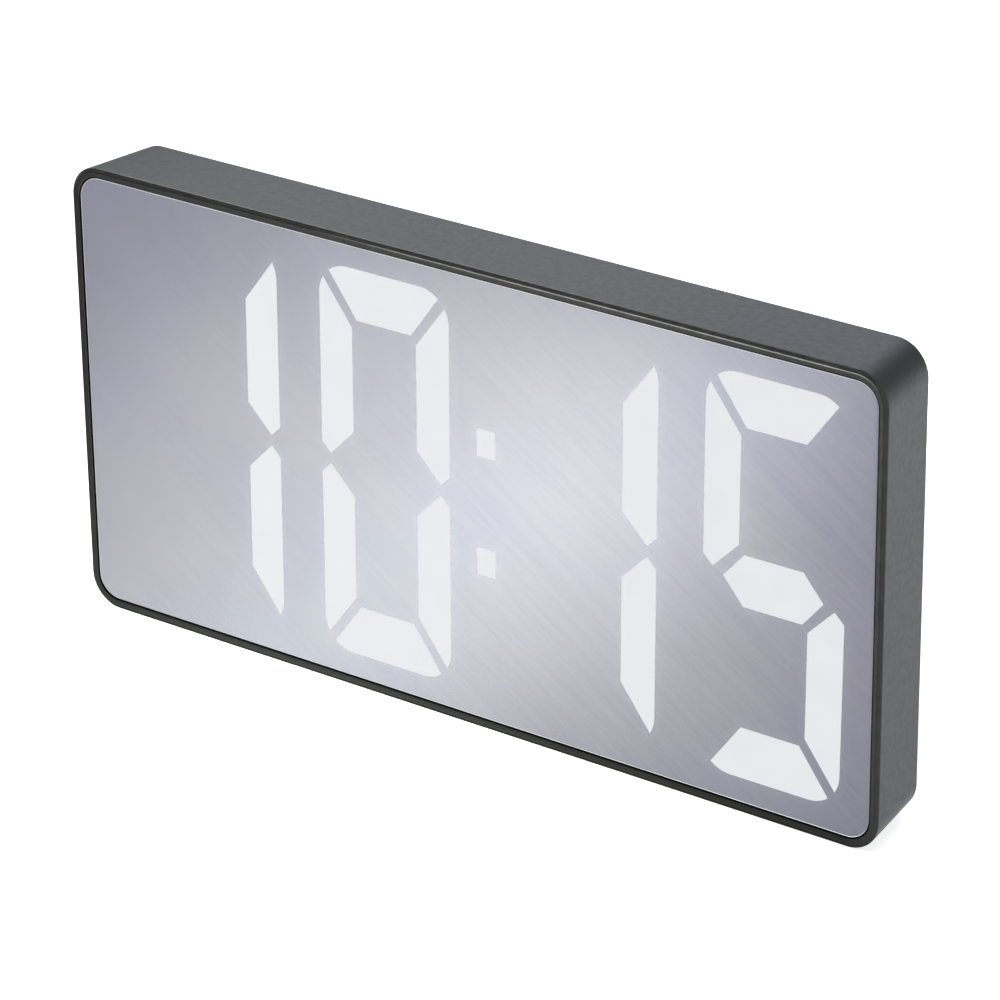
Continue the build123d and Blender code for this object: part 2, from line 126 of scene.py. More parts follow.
def prism(name, outline, at, along, depth):
    """A closed prism of outline (pairs in the plane's two axes), used as a cutter. Metres."""
    bm = bmesh.new()
    a, b = [], []
    for p, q in outline:
        if along == "x":
            a.append(bm.verts.new((at, p, q)))
            b.append(bm.verts.new((at + depth, p, q)))
        elif along == "y":
            a.append(bm.verts.new((p, at, q)))
            b.append(bm.verts.new((p, at + depth, q)))
        else:
            a.append(bm.verts.new((p, q, at)))
            b.append(bm.verts.new((p, q, at + depth)))
    bm.faces.new(a)
    bm.faces.new(b[::-1])
    for i in range(len(a)):
        j = (i + 1) % len(a)
        bm.faces.new((a[i], a[j], b[j], b[i]))
    return new_object(name, bm)


def cut(obj, cutters):
    for c in cutters:
        m = obj.modifiers.new("cut", "BOOLEAN")
        m.operation, m.solver, m.object = "DIFFERENCE", "EXACT", c
    applied(obj)
    for c in cutters:
        bpy.data.objects.remove(c)


# ------------------------------------------------------------------ materials
def material(name):
    m = bpy.data.materials.new(name)
    m.use_nodes = True
    return m, m.node_tree, m.node_tree.nodes["Principled BSDF"]


def node(t, kind, inputs=None, **props):
    n = t.nodes.new(kind)
    for k, v in props.items():
        setattr(n, k, v)
    for k, v in (inputs or {}).items():
        if isinstance(v, bpy.types.NodeSocket):
            t.links.new(v, n.inputs[k])
        else:
            n.inputs[k].default_value = v
    return n


def coords(t, scale=(1, 1, 1), rot=(0, 0, 0), loc=(0, 0, 0)):
    c = node(t, "ShaderNodeTexCoord")
    if scale == (1, 1, 1) and rot == (0, 0, 0) and loc == (0, 0, 0):
        return c.outputs["Object"]
    return node(t, "ShaderNodeMapping", {"Vector": c.outputs["Object"], "Scale": scale, "Rotation": rot, "Location": loc}).outputs[0]


def noise(t, vector, scale, detail=2.0, rough=0.5):
    return node(t, "ShaderNodeTexNoise", {"Vector": vector, "Scale": scale, "Detail": detail, "Roughness": rough}).outputs["Fac"]


def ranged(t, value, a, b, c, d):
    return node(t, "ShaderNodeMapRange", {"Value": value, "From Min": a, "From Max": b, "To Min": c, "To Max": d}).outputs[0]


def maths(t, op, a, b=0.0, clamp=False):
    return node(t, "ShaderNodeMath", {0: a, 1: b}, operation=op, use_clamp=clamp).outputs[0]


def mixed(t, fac, a, b, kind="MIX"):
    n = node(t, "ShaderNodeMix", data_type="RGBA", blend_type=kind)
    for k, v in ((0, fac), (6, a), (7, b)):
        if isinstance(v, bpy.types.NodeSocket):
            t.links.new(v, n.inputs[k])
        else:
            n.inputs[k].default_value = v if k == 0 else (*v, 1.0)
    return n.outputs[2]


def shade(c, k):
    return tuple(min(1.0, max(0.0, x * k)) for x in c)


def plastic(name, colour, rough=0.45, grain=5200.0, depth=0.00002, strength=0.4, tone=0.06, swing=0.05,
            specular=0.5, edge_highlight=None, second=None, sheen_only=False):
    """Moulded plastic: fine spark-eroded grain, slow tone changes, roughness that varies with the grain.
    With sheen_only it is a near-black lacquer, seen only by its dim reflections."""
    m, t, b = material(name)
    v = coords(t)
    fine = noise(t, v, grain, 2.5, 0.6)
    slow = noise(t, v, 38.0, 3.0, 0.55)
    mid = noise(t, v, grain / 6, 2.0, 0.5)
    base = mixed(t, ranged(t, slow, 0.35, 0.65, 0.0, 1.0), shade(colour, 1 - tone), second or shade(colour, 1 + tone))
    base = mixed(t, ranged(t, fine, 0.35, 0.65, 0.0, 0.35), base, shade(colour, 1 + 2.5 * tone))
    r = maths(t, "ADD", ranged(t, mid, 0.3, 0.7, rough - swing, rough + swing), ranged(t, fine, 0.3, 0.7, -swing / 2, swing / 2))
    # Painted highlight: the edge attribute mixes a lighter colour into the base along the front rim's edges, mostly
    # along the top; the roughness is lowered there too.
    if edge_highlight:
        edge = node(t, "ShaderNodeAttribute", attribute_name="edge").outputs["Fac"]
        patchy_highlight = maths(t, "MULTIPLY", edge, ranged(t, noise(t, v, 420.0, 3.0, 0.6), 0.3, 0.7, 0.55, 1.0))
        base = mixed(t, patchy_highlight, base, edge_highlight)
        r = maths(t, "SUBTRACT", r, maths(t, "MULTIPLY", patchy_highlight, 0.16))
    t.links.new(base, b.inputs["Base Color"])
    t.links.new(r, b.inputs["Roughness"])
    b.inputs["Specular IOR Level"].default_value = specular
    bump = node(t, "ShaderNodeBump", {"Strength": strength, "Distance": depth, "Height": maths(t, "ADD", fine, maths(t, "MULTIPLY", mid, 0.6))})
    t.links.new(bump.outputs[0], b.inputs["Normal"])
    if sheen_only:
        b.inputs["Metallic"].default_value = 1.0
        b.inputs["Specular Tint"].default_value = (0.4, 0.4, 0.4, 1.0)
    return m


def metal(name, colour, rough=0.28, stretch=(900, 900, 900), swing=0.08, strength=0.15):
    """Plated or rolled metal with faint drawing lines and dull patches."""
    m, t, b = material(name)
    v = coords(t, scale=stretch)
    lines = noise(t, v, 1.0, 3.0, 0.6)
    slow = noise(t, coords(t), 160.0, 3.0, 0.5)
    t.links.new(mixed(t, ranged(t, slow, 0.3, 0.7, 0.0, 1.0), shade(colour, 0.86), colour), b.inputs["Base Color"])
    t.links.new(maths(t, "ADD", ranged(t, lines, 0.3, 0.7, rough - swing, rough + swing), ranged(t, slow, 0.3, 0.7, 0.0, 0.06)), b.inputs["Roughness"])
    b.inputs["Metallic"].default_value = 1.0
    t.links.new(node(t, "ShaderNodeBump", {"Strength": strength, "Distance": 0.00001, "Height": lines}).outputs[0], b.inputs["Normal"])
    return m


def board(name):
    """Solder mask over copper: green-black with track-like lighter cells and a weave under the gloss."""
    m, t, b = material(name)
    v = coords(t)
    cells = node(t, "ShaderNodeTexVoronoi", {"Vector": coords(t, scale=(1, 0.02, 1)), "Scale": 260.0, "Randomness": 0.55}, feature="F1", distance="CHEBYCHEV").outputs["Distance"]
    tracks = ranged(t, cells, 0.30, 0.34, 0.0, 1.0)
    base = mixed(t, tracks, (0.004, 0.045, 0.022), (0.006, 0.075, 0.035))
    base = mixed(t, ranged(t, noise(t, v, 90.0, 2.0), 0.3, 0.7, 0.0, 0.5), base, (0.003, 0.035, 0.02))
    t.links.new(base, b.inputs["Base Color"])
    t.links.new(ranged(t, noise(t, v, 1500.0, 2.0), 0.3, 0.7, 0.26, 0.38), b.inputs["Roughness"])
    weave = node(t, "ShaderNodeTexWave", {"Vector": v, "Scale": 320.0, "Distortion": 1.5, "Detail": 1.0}).outputs["Fac"]
    t.links.new(node(t, "ShaderNodeBump", {"Strength": 0.25, "Distance": 0.00002, "Height": maths(t, "ADD", tracks, maths(t, "MULTIPLY", weave, 0.3))}).outputs[0], b.inputs["Normal"])
    return m


CASE = (0.0320, 0.0330, 0.0352)
MAT = {
    # case_plastic and rim_plastic take a lighter colour along the rim's edges as a painted highlight.
    "case_plastic": plastic("case_plastic", CASE, 0.47, 5200.0, 0.00002, 0.22, 0.02, 0.04, 0.39, edge_highlight=(0.120, 0.122, 0.126)),
    "rim_plastic": plastic("rim_plastic", (0.0205, 0.0205, 0.0208), 0.40, 3600.0, 0.00001, 0.10, 0.04, 0.03, 0.5, edge_highlight=(0.36, 0.354, 0.347), sheen_only=True),
    # Near black: painted shade in the narrow gap round the panel.
    "seam_plastic": plastic("seam_plastic", (0.0020, 0.0020, 0.0020), 0.6, 3600.0, 0.00001, 0.10, 0.04, 0.03, 0.04),
    "cover_plastic": plastic("cover_plastic", (0.036, 0.037, 0.038), 0.55, 2600.0, 0.00004, 0.5, 0.07, 0.06),
    "stand_plastic": plastic("stand_plastic", (0.040, 0.041, 0.042), 0.5, 3200.0, 0.00003, 0.45, 0.06, 0.05),
    "cap_plastic": plastic("cap_plastic", (0.038, 0.039, 0.040), 0.5, 2600.0, 0.00004, 0.5, 0.06, 0.05),
    "button_plastic": plastic("button_plastic", (0.055, 0.056, 0.058), 0.34, 4200.0, 0.00001, 0.25, 0.05, 0.05),
    "white_plastic": plastic("white_plastic", (0.80, 0.80, 0.78), 0.5, 2200.0, 0.00002, 0.25, 0.03, 0.05),
    "led_chip": plastic("led_chip", (0.85, 0.80, 0.52), 0.3, 3000.0, 0.00001, 0.2, 0.06, 0.05),
    "chip_black": plastic("chip_black", (0.016, 0.016, 0.017), 0.42, 3800.0, 0.00002, 0.4, 0.1, 0.06),
    "resistor_black": plastic("resistor_black", (0.020, 0.020, 0.022), 0.3, 3000.0, 0.00001, 0.2, 0.1, 0.05),
    "capacitor_tan": plastic("capacitor_tan", (0.42, 0.27, 0.15), 0.4, 3000.0, 0.00001, 0.25, 0.08, 0.05),
    "buzzer_black": plastic("buzzer_black", (0.018, 0.018, 0.019), 0.4, 2600.0, 0.00002, 0.3, 0.1, 0.05),
    "switch_black": plastic("switch_black", (0.020, 0.020, 0.020), 0.4, 2600.0, 0.00002, 0.3, 0.1, 0.05),
    "plunger_plastic": plastic("plunger_plastic", (0.60, 0.60, 0.58), 0.4, 2600.0, 0.00001, 0.2, 0.06, 0.05),
    "holder_plastic": plastic("holder_plastic", (0.024, 0.024, 0.025), 0.45, 2600.0, 0.00002, 0.3, 0.1, 0.05),
    "grey_rubber": plastic("grey_rubber", (0.055, 0.055, 0.057), 0.78, 1800.0, 0.00006, 0.6, 0.1, 0.08, 0.35),
    "black_tape": plastic("black_tape", (0.012, 0.012, 0.012), 0.85, 1400.0, 0.00008, 0.7, 0.15, 0.08, 0.3),
    "plated_metal": metal("plated_metal", (0.72, 0.71, 0.68), 0.25, (300, 2600, 2600)),
    "cell_steel": metal("cell_steel", (0.66, 0.66, 0.66), 0.24, (1800, 400, 1800)),
    "spring_metal": metal("spring_metal", (0.74, 0.66, 0.48), 0.28, (500, 2400, 2400)),
    "screw_steel": metal("screw_steel", (0.075, 0.078, 0.085), 0.33, (1500, 600, 1500)),
    "pin_steel": metal("pin_steel", (0.62, 0.62, 0.63), 0.22, (200, 2600, 2600)),
    "circuit_board": board("circuit_board"),
}

# milky film behind the panel
m, t, b = material("diffuser_film")
t.links.new(mixed(t, ranged(t, noise(t, coords(t), 700.0, 3.0), 0.3, 0.7, 0.0, 1.0), (0.72, 0.73, 0.74), (0.82, 0.83, 0.84)), b.inputs["Base Color"])
t.links.new(ranged(t, noise(t, coords(t), 3000.0, 2.0), 0.3, 0.7, 0.45, 0.6), b.inputs["Roughness"])
MAT["diffuser_film"] = m

# lit parts of the digits: light through the film, a touch uneven over each segment
m, t, b = material("lit_segments")
uneven = noise(t, coords(t), 130.0, 2.0, 0.5)
lit = mixed(t, ranged(t, uneven, 0.3, 0.7, 0.0, 1.0), (0.790, 0.802, 0.838), (0.815, 0.822, 0.852))
t.links.new(lit, b.inputs["Emission Color"])
b.inputs["Emission Strength"].default_value = 0.985
b.inputs["Base Color"].default_value = (0.01, 0.01, 0.01, 1.0)
t.links.new(ranged(t, uneven, 0.3, 0.7, 0.5, 0.6), b.inputs["Roughness"])
b.inputs["Specular IOR Level"].default_value = 0.0
MAT["lit_segments"] = m

# ------------------------------------------------------------------ half-silvered panel
CELLS = (193.6, 639.7, 1154.6, 1599.7)
LEAN = 0.0105
COLON = ((1065.5, 362.5), (1065.5, 632.5))
COLON_W, COLON_H = 47.0, 63.0
R_DIGIT = 73.0
SEG_A = [(14, 50), (319, 50), (236, 165), (97, 165)]
SEG_F = [(0, 71), (0, 462), (23, 485), (84, 422), (84, 184)]
SEG_G = [(97, 442), (236, 442), (284, 499), (236, 557), (97, 557), (48, 499)]


def flip_x(p):
    return [(333.0 - x, y) for x, y in p][::-1]


def flip_y(p):
    return [(x, 994 - y) for x, y in p][::-1]


SEG = {"a": SEG_A, "f": SEG_F, "g": SEG_G, "b": flip_x(SEG_F), "e": flip_y(SEG_F), "c": flip_y(flip_x(SEG_F)), "d": flip_y(SEG_A)}
LIT = ("bc", "abcdef", "bc", "afgcd")


def on_panel(x, y):
    return (x + LEAN * (497 - y) - 1000) * PW / 2000, (500 - y) * PH / 1000


def tipped(points):
    """A bar's outline, cut by the rounded outer corners of its digit (an overlap of two convex outlines)."""
    whole = []
    for cx, cy, a0 in ((333 - R_DIGIT, 50 + R_DIGIT, -90), (333 - R_DIGIT, 944 - R_DIGIT, 0), (R_DIGIT, 944 - R_DIGIT, 90), (R_DIGIT, 50 + R_DIGIT, 180)):
        for k in range(13):
            a = math.radians(a0 + 7.5 * k)
            whole.append((cx + R_DIGIT * math.cos(a), cy + R_DIGIT * math.sin(a)))
    out = points
    for (ax, ay), (bx, by) in zip(whole, whole[1:] + whole[:1]):
        if math.hypot(bx - ax, by - ay) < 1e-6:
            continue
        side = [(bx - ax) * (y - ay) - (by - ay) * (x - ax) for x, y in out]
        kept = []
        for i, (x, y) in enumerate(out):
            j = (i + 1) % len(out)
            if side[i] >= 0:
                kept.append((x, y))
            if (side[i] >= 0) != (side[j] >= 0):
                k = side[i] / (side[i] - side[j])
                kept.append((x + k * (out[j][0] - x), y + k * (out[j][1] - y)))
        out = kept
    return out


lit_polys = [[on_panel(left + x, y) for x, y in (SEG[s] if s == "g" else tipped(SEG[s]))] for left, word in zip(CELLS, LIT) for s in word]
for cx, cy in COLON:
    x, z = on_panel(cx, cy)
    w, h = COLON_W * PW / 4000, COLON_H * PH / 2000
    lit_polys.append([(x - w, z - h), (x + w, z - h), (x + w, z + h), (x - w, z + h)])


def distance(px, pz, poly):
    """Distance of a point to a closed outline, 0 inside it."""
    inside, best = False, 1e9
    n = len(poly)
    for i in range(n):
        x0, z0 = poly[i]
        x1, z1 = poly[(i + 1) % n]
        if (z0 > pz) != (z1 > pz) and px < (x1 - x0) * (pz - z0) / (z1 - z0) + x0:
            inside = not inside
        dx, dz = x1 - x0, z1 - z0
        k = max(0.0, min(1.0, ((px - x0) * dx + (pz - z0) * dz) / (dx * dx + dz * dz)))
        best = min(best, math.hypot(px - x0 - k * dx, pz - z0 - k * dz))
    return 0.0 if inside else best


lit_boxes = [(min(p[0] for p in q) - 9, max(p[0] for p in q) + 9, min(p[1] for p in q) - 9, max(p[1] for p in q) + 9, q) for q in lit_polys]


def halo_at(x, z):
    """How much of the digits' light reaches a point of the panel: a tight fringe and a wide haze."""
    near, total = 1e9, 0.0
    for x0, x1, z0, z1, q in lit_boxes:
        if x0 < x < x1 and z0 < z < z1:
            d = distance(x, z, q)
            near = min(near, d)
            total += math.exp(-d / 3.2)
    fringe = math.exp(-((near / 0.95) ** 1.3)) if near < 20 else 0.0
    return fringe, min(1.5, total)


def edge_light(ax, az, x):
    """Painted highlight at the panel's edge, by its outward direction and its place across."""
    k = x / (PW / 2)
    top = max(0.0, az) * (1.15 + 0.15 * k)
    left = max(0.0, -ax) * 1.30
    bottom = max(0.0, -az) ** 2 * (1.5 + 1.1 * k)
    right = max(0.0, ax) * 0.30
    return max(top, left, bottom, right)


def build_panel():
    """A fine grid over the front face, a rounded bevel at its edge, plain sides and back. Depth 0.22 to 2.15 mm."""
    bev, d0, d1 = 0.16, 0.215, 2.15
    hx, hz, r = PW / 2 - bev, PH / 2 - bev, 4.25 - bev
    zs = [hz - r * (1 - math.cos(math.pi / 2 * i / 10)) for i in range(10)]
    zs += [(hz - r) * (1 - 2 * i / 136) for i in range(137)]
    zs += [-z for z in zs[:10][::-1]]
    nx = 300
    bm = bmesh.new()
    fringe = bm.verts.layers.float.new("fringe")
    haze = bm.verts.layers.float.new("haze")
    lit_edge = bm.verts.layers.float.new("lit_edge")
    rows = []
    for z in zs:
        over = abs(z) - (hz - r)
        half = hx - r + math.sqrt(max(0.0, r * r - over * over)) if over > 0 else hx
        row = []
        for i in range(nx + 1):
            x = half * (2 * i / nx - 1)
            v = bm.verts.new((x * MM, (Y0 + d0) * MM, (ZC + z) * MM))
            v[fringe], v[haze] = halo_at(x, z)
            row.append(v)
        rows.append(row)
    for a, b in zip(rows, rows[1:]):
        for i in range(nx):
            bm.faces.new((a[i], b[i], b[i + 1], a[i + 1]))
    # outline, anticlockwise seen from the front, with outward normals
    edge = [(v, "t") for v in rows[0][::-1]] + [(row[0], "l") for row in rows[1:]] + [(v, "b") for v in rows[-1][1:]] + [(row[-1], "r") for row in rows[-2:0:-1]]
    outline = []
    for v, side in edge:
        x, z = v.co.x / MM, v.co.z / MM - ZC
        ox, oz = abs(x) - (hx - r), abs(z) - (hz - r)
        if ox > 1e-6 and oz > 1e-6:
            l = math.hypot(ox, oz)
            nx_, nz_ = math.copysign(ox / l, x), math.copysign(oz / l, z)
        elif oz > r - 1e-4:
            nx_, nz_ = 0.0, math.copysign(1, z)
        else:
            nx_, nz_ = math.copysign(1, x), 0.0
        # lit_edge: a painted highlight along the panel's edge, stronger at the top, the left and the lower right.
        v[lit_edge] = edge_light(nx_, nz_, x)
        outline.append((v, nx_, nz_))
    previous = [v for v, _, _ in outline]
    steps = [(bev * math.sin(a), d0 + bev * (1 - math.cos(a))) for a in (math.pi / 2 * k / 6 for k in range(1, 7))] + [(bev, 0.9), (bev, d1)]
    n = len(previous)
    for k, (off, d) in enumerate(steps):
        ring = []
        for v, ax, az in outline:
            w = bm.verts.new((v.co.x + ax * off * MM, (Y0 + d) * MM, v.co.z + az * off * MM))
            w[haze] = v[haze]
            w[lit_edge] = edge_light(ax, az, w.co.x / MM) * (0.8, 0.3)[k] if k < 2 else 0.0
            ring.append(w)
        for i in range(n):
            j = (i + 1) % n
            f = bm.faces.new((previous[i], previous[j], ring[j], ring[i]))
            f.material_index = 1
        previous = ring
    f = bm.faces.new(previous)
    f.material_index = 2
    return new_object("half_silvered_panel", bm, 60)


def hairlines(t, angle, across, along, detail=3.0):
    """Fine wiped lines at an angle on the panel (degrees up from the horizontal)."""
    v = node(t, "ShaderNodeVectorRotate", {"Vector": node(t, "ShaderNodeTexCoord").outputs["Object"], "Axis": (0, 1, 0), "Angle": math.radians(angle)}, rotation_type="AXIS_ANGLE").outputs[0]
    v = node(t, "ShaderNodeVectorMath", {0: v, 1: (along, 40.0, across)}, operation="MULTIPLY").outputs[0]
    return noise(t, v, 1.0, detail, 0.62)


def panel_material():
    m, t, b = material("half_silvered_panel")
    v = coords(t)
    lines = hairlines(t, -28.0, 2600.0, 60.0)
    lines2 = hairlines(t, -38.0, 900.0, 26.0)
    clouds = noise(t, v, 26.0, 3.0, 0.55)
    clouds2 = noise(t, coords(t, loc=(3.1, 0.7, 1.9)), 40.0, 2.0, 0.5)
    base = mixed(t, ranged(t, clouds, 0.3, 0.7, 0.0, 1.0), (0.1284, 0.1233, 0.1619), (0.1371, 0.1360, 0.1778))
    base = mixed(t, ranged(t, clouds2, 0.45, 0.75, 0.0, 0.6), base, (0.1496, 0.1431, 0.1741))
    streak = maths(t, "ADD", ranged(t, lines, 0.3, 0.7, -0.5, 0.5), ranged(t, lines2, 0.3, 0.7, -0.5, 0.5))
    # the wiped lines are faintest at the left
    across = node(t, "ShaderNodeSeparateXYZ", {"Vector": v}).outputs["X"]
    streak = maths(t, "MULTIPLY", streak, ranged(t, across, -0.075, 0.03, 0.45, 0.95))
    base = mixed(t, ranged(t, streak, -0.6, 0.6, 0.0, 0.09), base, (0.309, 0.319, 0.350))
    t.links.new(base, b.inputs["Base Color"])
    b.inputs["Metallic"].default_value = 0.92
    t.links.new(ranged(t, streak, -0.6, 0.6, 0.21, 0.27), b.inputs["Roughness"])
    b.inputs["Coat Weight"].default_value = 0.35
    b.inputs["Coat Roughness"].default_value = 0.12
    b.inputs["Coat IOR"].default_value = 1.49
    fringe = node(t, "ShaderNodeAttribute", attribute_name="fringe").outputs["Fac"]
    haze = node(t, "ShaderNodeAttribute", attribute_name="haze").outputs["Fac"]
    glow = maths(t, "ADD", maths(t, "MULTIPLY", fringe, 0.018), maths(t, "MULTIPLY", haze, 0.008))
    tint = mixed(t, 1.0, (0.95, 0.95, 1.0), (1.0, 1.0, 1.0), "MULTIPLY")
    e = node(t, "ShaderNodeVectorMath", {0: tint, "Scale": glow}, operation="SCALE").outputs[0]
    t.links.new(e, b.inputs["Emission Color"])
    b.inputs["Emission Strength"].default_value = 1.0
    t.links.new(node(t, "ShaderNodeBump", {"Strength": 0.06, "Distance": 0.00001, "Height": lines}).outputs[0], b.inputs["Normal"])
    return m


def panel_edge_material():
    """Polished acrylic edge. It glows along the top, the left and the lower right: partly light from inside leaving the
    edge, partly a painted highlight, set per side.
    """
    m, t, b = material("panel_edge")
    v = coords(t)
    base = mixed(t, ranged(t, noise(t, v, 300.0, 3.0), 0.3, 0.7, 0.0, 1.0), (0.030, 0.030, 0.034), (0.045, 0.045, 0.050))
    t.links.new(base, b.inputs["Base Color"])
    t.links.new(ranged(t, noise(t, v, 1600.0, 2.0), 0.3, 0.7, 0.16, 0.28), b.inputs["Roughness"])
    b.inputs["Specular IOR Level"].default_value = 0.4
    lit = node(t, "ShaderNodeAttribute", attribute_name="lit_edge").outputs["Fac"]
    painted_edge_glow = mixed(t, ranged(t, noise(t, v, 160.0, 2.0), 0.3, 0.7, 0.0, 1.0), (0.62, 0.63, 0.66), (0.92, 0.92, 0.93))
    t.links.new(node(t, "ShaderNodeVectorMath", {0: painted_edge_glow, "Scale": lit}, operation="SCALE").outputs[0], b.inputs["Emission Color"])
    b.inputs["Emission Strength"].default_value = 1.0
    return m


panel = build_panel()
panel.data.materials.append(panel_material())
panel.data.materials.append(panel_edge_material())
panel.data.materials.append(MAT["black_tape"])
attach(panel, "case")
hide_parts("mirror_panel")


# ------------------------------------------------------------------ housing
def outer(d, by):
    t = max(0.0, (d - BEVEL_D) / (D - BEVEL_D))
    return (W / 2 - TAPER_X * t - by, H / 2 - TAPER_Z * t - by, R - by, d)


def painted_highlight_at(corner, x, z):
    """How strong the painted highlight is on an edge of the front rim at a place: brightest along the top crest from
    the middle rightwards, where light falls. Corner 0 is the crest, 1 the bevel's outer edge, 9 the inner lip.
    """
    cx, cz = W / 2 - R, H / 2 - R
    along = min(1.0, max(0.0, (x + cx) / (2 * cx)))
    if corner == 0:
        if z > cz:
            if x <= cx:
                return min(1.0, max(0.04, (x + 30.0) / 24.0)) * (0.85 + 0.15 * along)
            turn = math.degrees(math.atan2(x - cx, z - cz)) / 90
            return max(0.06, 1.0 - 1.5 * turn)
        return 0.05
    if corner == 1:
        return 0.42 + 0.40 * along if z > cz and x <= cx else 0.10 if z > cz else 0.0
    if corner == 9:
        return 0.05 if z > cz or x > cx else 0.0
    return 0.0


def by_side(x, z, top, right, bottom, left):
    """A value for each side of the front rim, blended round its corners."""
    ox, oz = max(0.0, abs(x) - (W / 2 - R)), max(0.0, abs(z) - (H / 2 - R))
    return ((right if x > 0 else left) * ox + (top if z > 0 else bottom) * oz) / max(1e-9, ox + oz)


def build_housing():
    section = [
        (outer(0.0, CHAMFER), 0.5),
        (outer(BEVEL_D, 0.0), 0.14),
        (outer(D - 0.3, 0.0), 0.12),
        ((W / 2 - TAPER_X - 0.3, H / 2 - TAPER_Z - 0.3, R - 0.3, D), 0.10),
        ((79.0, 40.3, 3.0, D), 0.10),
        ((79.0, 40.3, 3.0, 4.3), 0.0),
        ((78.7, 38.0, 2.0, 4.3), 0.0),
        ((78.7, 38.0, 2.0, 2.35), 0.0),
        ((80.95, 40.35, 4.45, 2.35), 0.0),
        ((80.95, 40.35, 4.45, 0.0), 0.12),
    ]
    profile = rounded_profile(section)
    bm = bmesh.new()
    edge = bm.verts.layers.float.new("edge")
    rings = []
    for k, ((hx, hz, r, d), e, corner) in enumerate(profile):
        ring = []
        # Painted highlight: the flat face and the bevel get a lighter colour that differs by side, most of all on the
        # bevel's upper side, where light falls.
        at_start = k == 0 or profile[k - 1][2] != corner
        at_end = k == len(profile) - 1 or profile[k + 1][2] != corner
        painted_sheen = None
        if corner == 0 and at_start or corner == 9 and at_end:
            painted_sheen = (0.039, 0.066, 0.0, 0.0)
        elif corner == 0 and at_end or corner == 1 and at_start:
            painted_sheen = (0.215, 0.066, 0.0, 0.045)
        for x, z in ring_points(hx, hz, r):
            v = bm.verts.new((x * MM, (Y0 + d) * MM, (ZC + z) * MM))
            v[edge] = max(e * painted_highlight_at(corner, x, z), by_side(x, z, *painted_sheen) if painted_sheen else 0.0)
            ring.append(v)
        rings.append(ring)
    n = len(rings[0])
    for k in range(len(rings)):
        a, b = rings[k], rings[(k + 1) % len(rings)]
        (hx0, _, _, d0), (hx1, _, _, d1) = profile[k][0], profile[(k + 1) % len(rings)][0]
        finish = 0
        # The gap wall round the panel is near black, painted shade in the gap.
        if max(hx0, hx1) < 80.96 and min(hx0, hx1) > 80.9 and (d0 + d1) / 2 < 2.3:
            finish = 2
        # The front bevel and face take the rim lacquer; the back edge takes it too, as painted shade of its rounded
        # edge.
        elif min(hx0, hx1) > 80.9 and (d0 + d1) / 2 < 0.257 or min(hx0, hx1) > 80.15 and (d0 + d1) / 2 > D - 0.5:
            finish = 1
        for i in range(n):
            j = (i + 1) % n
            f = bm.faces.new((a[i], b[i], b[j], a[j]))
            f.material_index = finish
    obj = new_object("housing_shell", bm, 40)
    for finish in ("case_plastic", "rim_plastic", "seam_plastic"):
        obj.data.materials.append(MAT[finish])
    # socket slot in the left wall and recesses for the pads
    sd, sz = 8.6 + 3.26 / 2, 22.4
    L, B = (8.94 + 0.5) / 2, (3.26 + 0.5) / 2
    slot = []
    for side in (1, -1):
        for i in range(17):
            a = math.radians(-90 + 180 * i / 16) if side == 1 else math.radians(90 + 180 * i / 16)
            slot.append(((Y0 + sd + B * math.sin(a) * (1 if side == 1 else 1)) * MM, (sz + side * (L - B) + B * math.cos(a)) * MM))
    cutters = [prism("slot_cutter", slot, -0.090, "x", 0.0112)]
    for s in (-1, 1):
        x, w, dy = 56.0 * s * MM, 17.1 * MM, 5.85 * MM
        cutters.append(prism(f"pad_cutter_{s}", [(x - w, -dy), (x + w, -dy), (x + w, dy), (x - w, dy)], -0.001, "z", 0.0019))
    cut(obj, cutters)
    # bosses for the cover screws, inside the corners
    bm = bmesh.new()
    bm.from_mesh(obj.data)
    for sx in (-1, 1):
        for sz_ in (-1, 1):
            cx, cz = 76.4 * sx, 37.7 * sz_
            loop_a, loop_b = [], []
            pts = [(cx + 2.1 * math.cos(a), cz + 2.1 * math.sin(a)) for a in (2 * math.pi * i / 32 for i in range(32))]
            for x, z in pts:
                loop_a.append(bm.verts.new((x * MM, (Y0 + 4.3) * MM, (ZC + z) * MM)))
                loop_b.append(bm.verts.new((x * MM, (Y0 + 13.7) * MM, (ZC + z) * MM)))
            bm.faces.new(loop_a)
            bm.faces.new(loop_b[::-1])
            for i in range(32):
                j = (i + 1) % 32
                bm.faces.new((loop_a[i], loop_b[i], loop_b[j], loop_a[j]))
    bmesh.ops.recalc_face_normals(bm, faces=bm.faces)
    bm.to_mesh(obj.data)
    bm.free()
    obj.data.polygons.foreach_set("use_smooth", [True] * len(obj.data.polygons))
    obj.data.set_sharp_from_angle(angle=math.radians(40))
    weighted(obj)
    return obj


housing = build_housing()
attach(housing, "case")
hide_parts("housing")

